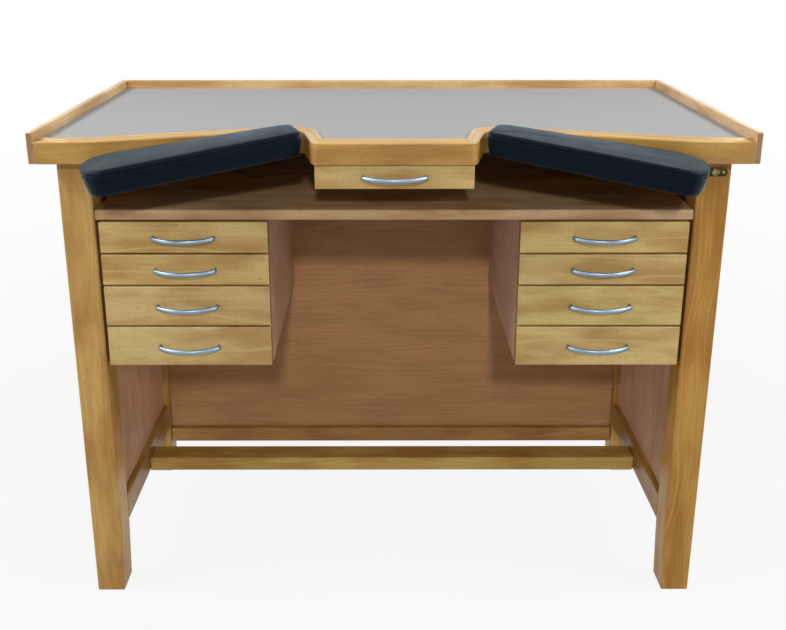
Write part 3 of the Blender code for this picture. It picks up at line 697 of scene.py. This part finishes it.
class BENCH_OT_padded_rests(bpy.types.Operator):
    """Blow up the two armrest pads and sew the seam round them"""

    bl_idname = "bench.padded_rests"
    bl_label = "Padded Rests"

    def execute(self, context):
        cover = leatherette()
        for hand in HANDS:
            piece = self.pad(hand, context.scene.bench_sizes)
            dress(piece, cover)
            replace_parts(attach(piece, f"armrest_{hand}"), f"armrest_pad_{hand}")
        return {"FINISHED"}

    def pad(self, hand, sizes):
        """One pad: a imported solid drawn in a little, blown up, smoothed on its crown and sewn."""
        piece = merged_copy(f"armrest_pad_{hand}", f"padded_rest_{hand}")
        base = max((face for face in piece.data.polygons if face.normal.z < -0.9), key=lambda face: face.area)
        up = -base.normal.copy()
        floor = base.center.dot(up)
        seam = piece.vertex_groups.new(name="seam")
        held = piece.vertex_groups.new(name="held")
        crown = piece.vertex_groups.new(name="crown")
        for vert in piece.data.vertices:
            height = vert.co.dot(up) - floor
            if abs(height - sizes.seam_up) < MM:
                seam.add([vert.index], 1.0, "REPLACE")
            if height < MM:
                held.add([vert.index], 1.0, "REPLACE")
            if height > sizes.seam_up + sizes.roll_tall:
                crown.add([vert.index], 1.0, "REPLACE")
        bpy.ops.object.mode_set(mode="EDIT")
        bpy.ops.mesh.select_all(action="SELECT")
        bpy.ops.transform.shrink_fatten(value=-sizes.pad_slack)
        bpy.ops.object.mode_set(mode="OBJECT")
        self.subdivide(piece, 2)
        self.swell(piece, sizes)
        bpy.ops.object.modifier_add(type="SMOOTH")
        piece.modifiers[-1].vertex_group = "crown"
        piece.modifiers[-1].iterations = CROWN_ROUNDS
        bpy.ops.object.modifier_apply(modifier=piece.modifiers[-1].name)
        self.subdivide(piece, 1)
        self.sew(piece, sizes)
        piece.vertex_groups.clear()
        bpy.ops.object.shade_smooth()
        return piece

    @staticmethod
    def subdivide(piece, levels):
        """Rounds a pad's mesh and applies it."""
        bpy.ops.object.modifier_add(type="SUBSURF")
        piece.modifiers[-1].levels = levels
        piece.modifiers[-1].render_levels = levels
        bpy.ops.object.modifier_apply(modifier=piece.modifiers[-1].name)

    @staticmethod
    def swell(piece, sizes):
        """Simulates the skin under pressure, held where it is fixed to its board, and evens out its pulls."""
        rest = np.array([vert.co for vert in piece.data.vertices])
        bpy.ops.object.modifier_add(type="CLOTH")
        cloth = piece.modifiers[-1]
        cloth.settings.quality = COVER_QUALITY
        cloth.settings.mass = COVER_MASS
        cloth.settings.bending_stiffness = COVER_BENDING
        cloth.settings.compression_stiffness = COVER_COMPRESSION
        cloth.settings.use_pressure = True
        cloth.settings.uniform_pressure_force = COVER_PRESSURE
        cloth.settings.effector_weights.gravity = 0.0
        cloth.settings.vertex_group_mass = "held"
        cloth.collision_settings.use_collision = False
        cloth.point_cache.frame_end = COVER_FRAMES
        for step in range(1, COVER_FRAMES + 1):
            bpy.context.scene.frame_set(step)
        bpy.ops.object.modifier_apply(modifier=cloth.name)
        bpy.context.scene.frame_set(1)
        moved = np.array([vert.co for vert in piece.data.vertices]) - rest
        far = np.linalg.norm(moved, axis=1, keepdims=True)
        moved *= np.minimum(1.0, sizes.pad_swell / np.maximum(far, 1e-9))
        ends = np.array([edge.vertices for edge in piece.data.edges])
        joined = np.bincount(ends.ravel(), minlength=len(rest))[:, None]
        for _ in range(EVEN_ROUNDS):
            near = np.zeros_like(moved)
            np.add.at(near, ends[:, 0], moved[ends[:, 1]])
            np.add.at(near, ends[:, 1], moved[ends[:, 0]])
            moved = (moved + near / joined) / 2
        piece.data.vertices.foreach_set("co", (rest + moved).astype(np.float32).ravel())
        piece.data.update()

    @staticmethod
    def sew(piece, sizes):
        """Draws the seam's line in all round the pad, with small pulls on both sides of it."""
        seam = piece.vertex_groups["seam"].index
        moves = []
        for vert in piece.data.vertices:
            share = sum(group.weight for group in vert.groups if group.group == seam)
            drift = PUCKER_DRIFT * math.sin(vert.co.x * PUCKER_WANDER)
            wave = math.sin(math.tau * vert.co.x / sizes.pucker_step + drift)
            pull = sizes.pucker * wave * share * (1.0 - share) * 4.0
            moves.append(vert.normal * (pull - sizes.seam_deep * share ** SEAM_SHARPNESS))
        for vert, move in zip(piece.data.vertices, moves):
            vert.co += move


class BENCH_OT_fittings(bpy.types.Operator):
    """Finish the steel armrest brackets and the oval brass plate"""

    bl_idname = "bench.fittings"
    bl_label = "Brackets and Oval Plate"

    def execute(self, context):
        black = steel()
        for hand in HANDS:
            dress(nodes[f"armrest_bracket_{hand}"], black)
            dress(nodes[f"armrest_bush_{hand}"], black)
        plate = merged_copy("oval_plate", "oval_brass_plate")
        smooth(plate, 35)
        self.painted_shade(plate)
        dress(plate, brass())
        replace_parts(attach(plate, "bench"), "oval_plate")
        return {"FINISHED"}

    @staticmethod
    def painted_shade(plate):
        """Marks the flat of the plate, which lies lower than the collar and the screw heads, for painted shade."""
        flats = [round(face.center.y, 5) if face.normal.y < -0.9 else None for face in plate.data.polygons]
        spread = {}
        for level, face in zip(flats, plate.data.polygons):
            spread[level] = spread.get(level, 0.0) + face.area * (level is not None)
        lowest = max(spread, key=spread.get)
        attribute = plate.data.attributes.new("painted_shade", "FLOAT", "FACE")
        attribute.data.foreach_set("value", [float(level == lowest) for level in flats])


# Floor: its size and how far it lies under the feet, in metres, how white it looks near the bench, and the distances
# between which it turns plain white.
FLOOR_SIZE = 80.0
FLOOR_SUNK = 0.0004
FLOOR_WHITE = 0.89
FLOOR_NEAR = 1.2
FLOOR_FAR = 4.5

# Studio light: strength of the room, then for each lamp its place, the height it points at, its size and its watts.
# The paired lamps stand on both sides.
ROOM_STRENGTH = 0.11
KEY_LAMP = ((0.1, -4.1, 2.75), 0.60, 0.25, 63.5)
PAIRED_LAMPS = {
    "ceiling light": ((2.2, -0.6, 2.6), 0.60, 1.0, 64.0),
    "side light": ((2.8, -2.2, 0.8), 0.50, 0.9, 14.5),
    "back light": ((2.2, 2.8, 0.8), 0.50, 0.9, 24.0),
}

# Camera: pixels of a 786 by 630 frame, metres in front of the edge boards and above the floor, and degrees.
FRAME_WIDE = 786
FRAME_TALL = 630
FOCUS = 940.0
AIM_X = 384.0
AIM_Y = 213.0
STAND_OFF = 1.50
EYE_X = -0.02
EYE_Z = 1.20
PITCH = 16.2
YAW = 0.1


class BENCH_OT_stage(bpy.types.Operator):
    """Add the floor, the studio light and the camera"""

    bl_idname = "bench.stage"
    bl_label = "Stage"

    def execute(self, context):
        self.floor(context)
        self.light(context)
        self.camera(context)
        context.scene.view_settings.view_transform = "Standard"
        return {"FINISHED"}

    @staticmethod
    def seen(tree):
        """One where the camera, a gloss or a clear piece looks, and nought for other light."""
        path = add_node(tree, "LightPath").outputs
        two = add_node(tree, "Math", {"operation": "MAXIMUM"}, {0: path["Is Camera Ray"], 1: path["Is Glossy Ray"]})
        return add_node(tree, "Math", {"operation": "MAXIMUM"},
                        {0: two.outputs["Value"], 1: path["Is Transmission Ray"]}).outputs["Value"]

    def floor(self, context):
        """A pale floor that keeps the shadow near the bench and turns plain white further out."""
        bpy.ops.object.select_all(action="DESELECT")
        bpy.ops.mesh.primitive_plane_add(size=FLOOR_SIZE, location=(0.0, 0.0, -FLOOR_SUNK))
        floor = context.object
        floor.name = "floor"
        made, tree, shader = new_material("pale studio floor")
        shader.inputs["Base Color"].default_value = (*context.scene.bench_colours.floor, 1.0)
        shader.inputs["Roughness"].default_value = 0.9
        white = add_node(tree, "Emission", {"Color": (1.0, 1.0, 1.0, 1.0), "Strength": 1.0})
        place = add_node(tree, "TexCoord").outputs["Object"]
        away = add_node(tree, "VectorMath", {"operation": "LENGTH"}, {0: place}).outputs["Value"]
        fade = {"From Min": FLOOR_NEAR, "From Max": FLOOR_FAR, "To Min": FLOOR_WHITE}
        bright = add_node(tree, "MapRange", fade, {"Value": away})
        share = add_node(tree, "Math", {"operation": "MULTIPLY"}, {0: self.seen(tree), 1: bright.outputs["Result"]})
        both = add_node(tree, "MixShader", links={0: share.outputs["Value"], 1: shader.outputs["BSDF"],
                                                  2: white.outputs["Emission"]})
        tree.links.new(both.outputs["Shader"], tree.nodes["Material Output"].inputs["Surface"])
        dress(floor, made)

    def light(self, context):
        """A dim warm room that looks plain white, a key lamp in front and three pairs of soft lamps round it."""
        world = bpy.data.worlds.new("studio")
        context.scene.world = world
        world.use_nodes = True
        tree = world.node_tree
        tree.nodes.clear()
        room = add_node(tree, "Background", {"Color": (1.0, 0.98, 0.95, 1.0), "Strength": ROOM_STRENGTH})
        white = add_node(tree, "Background", {"Color": (1.0, 1.0, 1.0, 1.0), "Strength": 1.0})
        both = add_node(tree, "MixShader", links={0: self.seen(tree), 1: room.outputs["Background"],
                                                  2: white.outputs["Background"]})
        add_node(tree, "OutputWorld", links={"Surface": both.outputs["Shader"]})
        self.lamp("key light", *KEY_LAMP)
        for side in (-1, 1):
            for name, ((across, back, up), *rest) in PAIRED_LAMPS.items():
                self.lamp(f"{name} {side}", (side * across, back, up), *rest)

    @staticmethod
    def lamp(name, place, height, size, power):
        """A square lamp that points at the middle of the bench at a height."""
        bpy.ops.object.light_add(type="AREA", location=place)
        lamp = bpy.context.object
        lamp.name = name
        lamp.rotation_euler = (Vector((0.0, 0.0, height)) - Vector(place)).to_track_quat("-Z", "Y").to_euler()
        lamp.data.size = size
        lamp.data.energy = power

    @staticmethod
    def camera(context):
        """A camera in front of the bench that looks down on the top, its frame shifted as far as the views allow."""
        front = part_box("edge_board_left")[0].y
        bpy.ops.object.camera_add(location=(EYE_X, front - STAND_OFF, EYE_Z),
                                  rotation=(math.pi / 2 - math.radians(PITCH), 0.0, -math.radians(YAW)))
        camera = context.object
        camera.name = "camera"
        camera.data.lens = FOCUS * camera.data.sensor_width / FRAME_WIDE
        camera.data.shift_x = (FRAME_WIDE / 2 - AIM_X) / FRAME_WIDE
        camera.data.shift_y = (AIM_Y - FRAME_TALL / 2) / FRAME_WIDE
        context.scene.camera = camera


class BENCH_PT_panel(bpy.types.Panel):
    """Lists the steps that finish the bench"""

    bl_label = "Watchmaker's Bench"
    bl_idname = "BENCH_PT_panel"
    bl_space_type = "VIEW_3D"
    bl_region_type = "UI"
    bl_category = "Bench"

    def draw(self, context):
        for step in OPERATORS:
            self.layout.operator(step.bl_idname)
        for group in (context.scene.bench_sizes, context.scene.bench_colours):
            for name in group.__annotations__:
                self.layout.prop(group, name)


OPERATORS = (BENCH_OT_leg_frame, BENCH_OT_top, BENCH_OT_lipping, BENCH_OT_drawer_fronts, BENCH_OT_bow_handles,
             BENCH_OT_drawer_boxes, BENCH_OT_padded_rests, BENCH_OT_fittings, BENCH_OT_stage)
CLASSES = (BenchSizes, BenchColours, *OPERATORS, BENCH_PT_panel)


def register():
    for made in CLASSES:
        bpy.utils.register_class(made)
    bpy.types.Scene.bench_sizes = bpy.props.PointerProperty(type=BenchSizes)
    bpy.types.Scene.bench_colours = bpy.props.PointerProperty(type=BenchColours)


def unregister():
    del bpy.types.Scene.bench_colours
    del bpy.types.Scene.bench_sizes
    for made in reversed(CLASSES):
        bpy.utils.unregister_class(made)


def main():
    register()
    bpy.ops.bench.leg_frame()
    bpy.ops.bench.top()
    bpy.ops.bench.lipping()
    bpy.ops.bench.drawer_fronts()
    bpy.ops.bench.bow_handles()
    bpy.ops.bench.drawer_boxes()
    bpy.ops.bench.padded_rests()
    bpy.ops.bench.fittings()
    bpy.ops.bench.stage()


if __name__ == "__main__":
    main()
